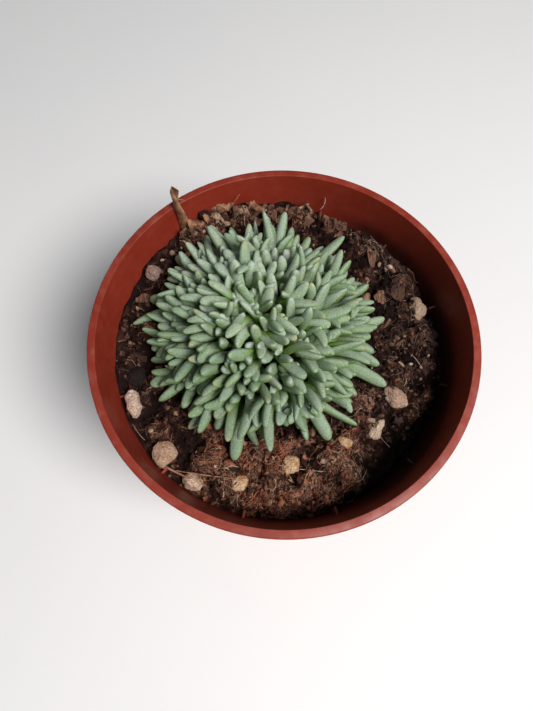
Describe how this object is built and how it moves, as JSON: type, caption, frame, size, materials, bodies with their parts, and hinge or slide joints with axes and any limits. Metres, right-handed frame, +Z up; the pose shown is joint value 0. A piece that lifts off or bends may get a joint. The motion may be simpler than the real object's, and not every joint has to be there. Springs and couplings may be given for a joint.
{
  "type": "potted succulent plant",
  "caption": "A cushion-forming ice plant with blunt grey-green finger leaves in gritty compost, in a terracotta-coloured round plastic nursery pot.",
  "frame": {"origin": "the centre of the pot's foot, on the plane it stands on", "axes": "+Z up, -Y towards the side first seen, +X to the right"},
  "size_m": [0.105, 0.105, 0.1013],
  "materials": {
    "pot_plastic": "satin",
    "compost": "matte",
    "pumice": "matte",
    "lava": "matte",
    "bark": "matte",
    "dry_leaf": "matte",
    "woody_stem": "matte",
    "leaf": "satin"
  },
  "bodies": {
    "root": {"pot": "pot_plastic", "soil": "compost", "pumice_round_front_left": "pumice", "pumice_long_left": "pumice", "pumice_wall_front_left": "pumice", "pumice_right": "pumice", "pumice_right_front": "pumice", "pumice_ochre_front": "pumice", "pumice_tan_front": "pumice", "pumice_grey_left": "pumice", "pumice_wall_right": "pumice", "lava_left": "lava", "bark_chip_back": "bark", "bark_chip_right": "bark", "bark_chip_left": "bark", "dry_shard": "dry_leaf", "crown": "woody_stem", "rosette_01": "leaf", "rosette_02": "leaf", "rosette_03": "leaf", "rosette_04": "leaf", "rosette_05": "leaf", "rosette_06": "leaf", "rosette_07": "leaf", "rosette_08": "leaf", "rosette_09": "leaf", "rosette_10": "leaf", "rosette_11": "leaf", "rosette_12": "leaf", "rosette_13": "leaf", "rosette_14": "leaf", "rosette_15": "leaf", "rosette_16": "leaf", "rosette_17": "leaf", "rosette_18": "leaf", "rosette_19": "leaf", "rosette_20": "leaf", "rosette_21": "leaf", "rosette_22": "leaf", "rosette_23": "leaf", "rosette_24": "leaf", "rosette_25": "leaf", "rosette_26": "leaf", "rosette_27": "leaf", "rosette_28": "leaf", "rosette_29": "leaf", "rosette_30": "leaf", "rosette_31": "leaf", "rosette_32": "leaf", "rosette_33": "leaf", "rosette_34": "leaf", "rosette_35": "leaf", "rosette_36": "leaf"}
  },
  "joints": []
}
